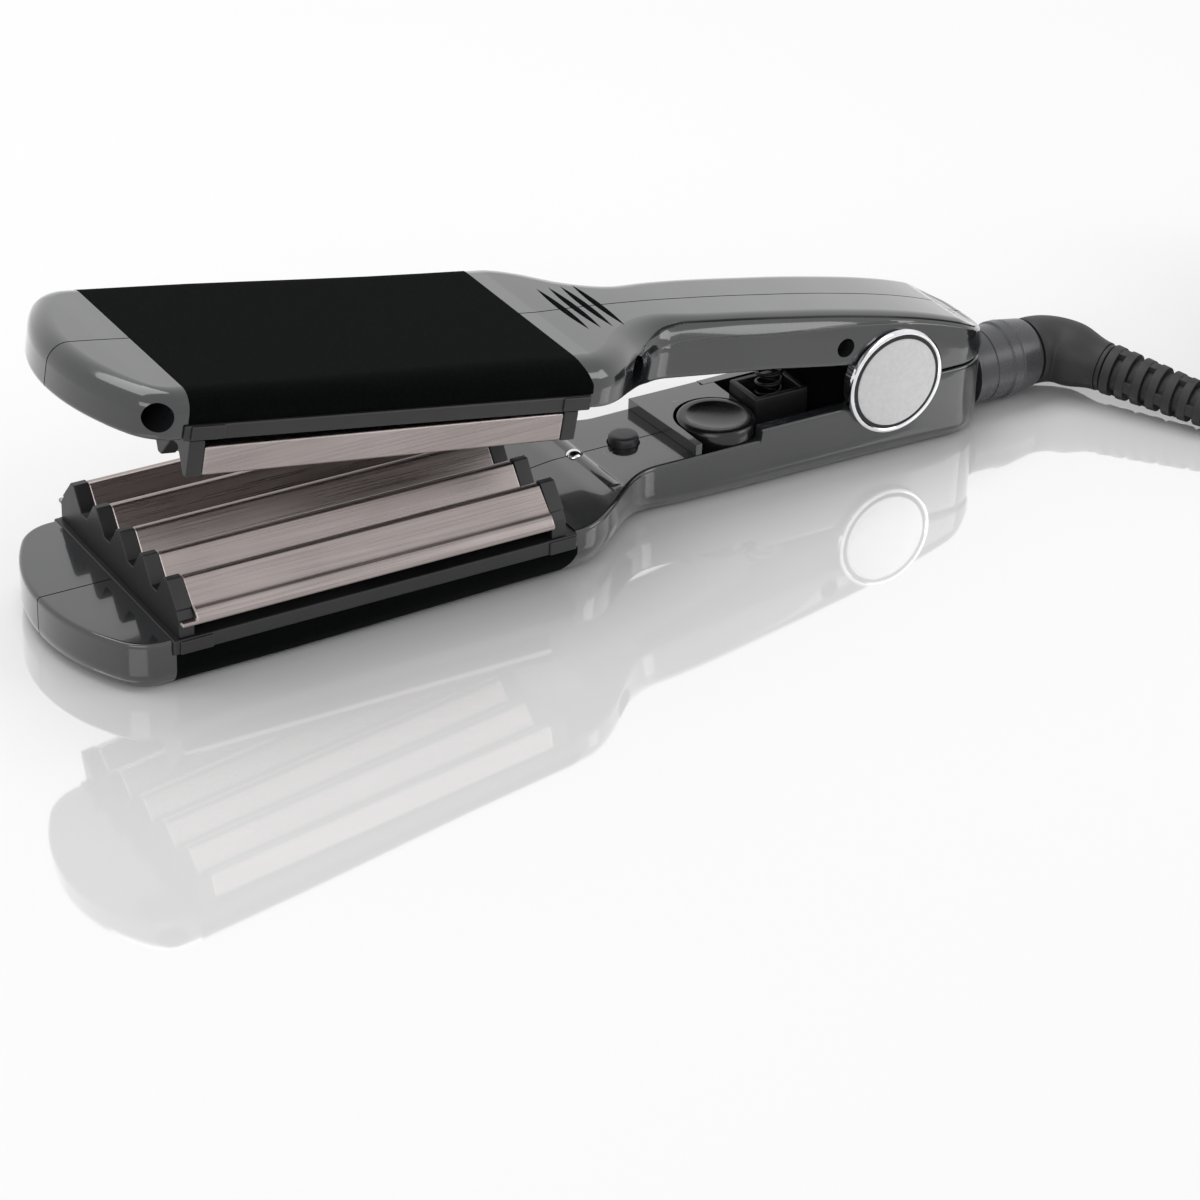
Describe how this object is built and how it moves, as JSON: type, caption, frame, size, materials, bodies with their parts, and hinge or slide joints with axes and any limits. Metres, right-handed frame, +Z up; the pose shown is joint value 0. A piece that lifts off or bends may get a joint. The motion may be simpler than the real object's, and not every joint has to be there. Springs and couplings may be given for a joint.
{
  "type": "hair crimper",
  "caption": "Hinged hair crimper with ridged metal plates, flocked heat pads, a heat dial, a power button and a swivelling mains cord.",
  "frame": {"origin": "centre of the resting face under the lower arm's box, without the cord, on the table", "axes": "+X along the tool from the tip to the cord, +Y to the far side, +Z up"},
  "size_m": [0.4186, 0.1312, 0.0725],
  "materials": {
    "shell_charcoal": "glossy moulded charcoal",
    "flocked_pad": "dense black flock",
    "frame_black": "satin moulded black",
    "carrier_black": "matt heat-resistant moulding",
    "plate_metal": "pink-taupe metallic coating",
    "heater_ceramic": "fired ceramic",
    "spring_steel": "plain spring steel",
    "screw_steel": "zinc plated",
    "lead_wire": "silicone covered wire",
    "lamp_chrome": "bright domed lens",
    "control_black": "satin black",
    "board_green": "printed circuit board",
    "component_grey": "moulded component bodies",
    "disc_chrome": "satin chrome with a polished rim",
    "ring_black": "matt black",
    "collar_grey": "satin charcoal",
    "contact_brass": "plain brass",
    "swivel_black": "fine matt texture",
    "cord_black": "matt flexible cord",
    "tie_black": "woven strap",
    "pin_nickel": "nickel plated"
  },
  "bodies": {
    "lower_arm": {"lower_right_shell": "shell_charcoal", "lower_left_shell": "shell_charcoal", "lower_pad": "flocked_pad", "lower_plate_frame": "frame_black", "lower_plate_carrier": "carrier_black", "lower_crimp_plate": "plate_metal", "lower_front_cap": "frame_black", "lower_rear_cap": "frame_black", "lower_heater": "heater_ceramic", "lower_heater_clamp": "spring_steel", "lower_screws": "screw_steel", "lower_leads": "lead_wire", "indicator_lens": "lamp_chrome", "dial_panel": "shell_charcoal", "dial_potentiometer": "control_black", "circuit_board": "board_green", "board_components": "component_grey", "spring_tower": "frame_black", "opening_spring": "spring_steel", "hinge_pin": "screw_steel", "pivot_caps": "disc_chrome", "pivot_rings": "ring_black", "cord_collar": "collar_grey", "brush_block": "carrier_black", "brushes": "contact_brass"},
    "upper_arm": {"upper_right_shell": "shell_charcoal", "upper_left_shell": "shell_charcoal", "upper_pad": "flocked_pad", "upper_plate_frame": "frame_black", "upper_plate_carrier": "carrier_black", "upper_crimp_plate": "plate_metal", "upper_front_cap": "frame_black", "upper_rear_cap": "frame_black", "upper_heater": "heater_ceramic", "upper_heater_clamp": "spring_steel", "upper_screws": "screw_steel", "upper_leads": "lead_wire", "thermal_fuse": "screw_steel", "hinge_bushes": "contact_brass"},
    "power_button": {"power_button": "control_black"},
    "temperature_dial": {"temperature_dial": "control_black"},
    "cord_swivel": {"swivel_hub": "swivel_black", "swivel_clip": "spring_steel", "slip_rings": "contact_brass", "swivel_elbow": "swivel_black", "strain_relief": "cord_black", "cord_run": "cord_black", "cord_coil": "cord_black", "cord_tie": "tie_black", "plug_body": "cord_black", "plug_pins": "pin_nickel"}
  },
  "joints": [
    {"name": "arm_hinge", "type": "hinge", "parent": "lower_arm", "child": "upper_arm", "pos_m": [0.07243, 0, 0.0214], "axis": [0, 1, 0], "range_deg": [-9.3, 0], "stiffness_Nm_per_rad": 0.6, "springref_deg": 25.78, "deforming": ["opening_spring"]},
    {"name": "button_press", "type": "slide", "parent": "lower_arm", "child": "power_button", "axis": [0, 0, -1], "range_m": [0, 0.001], "stiffness_N_per_m": 600, "springref_m": -0.0008},
    {"name": "dial_turn", "type": "hinge", "parent": "lower_arm", "child": "temperature_dial", "pos_m": [0.02943, -0.0039, 0.0169], "axis": [0, 0, 1], "range_deg": [-135, 135]},
    {"name": "cord_swivel_turn", "type": "hinge", "parent": "lower_arm", "child": "cord_swivel", "pos_m": [0.11743, 0, 0.0099], "axis": [1, 0, 0], "continuous": true}
  ]
}
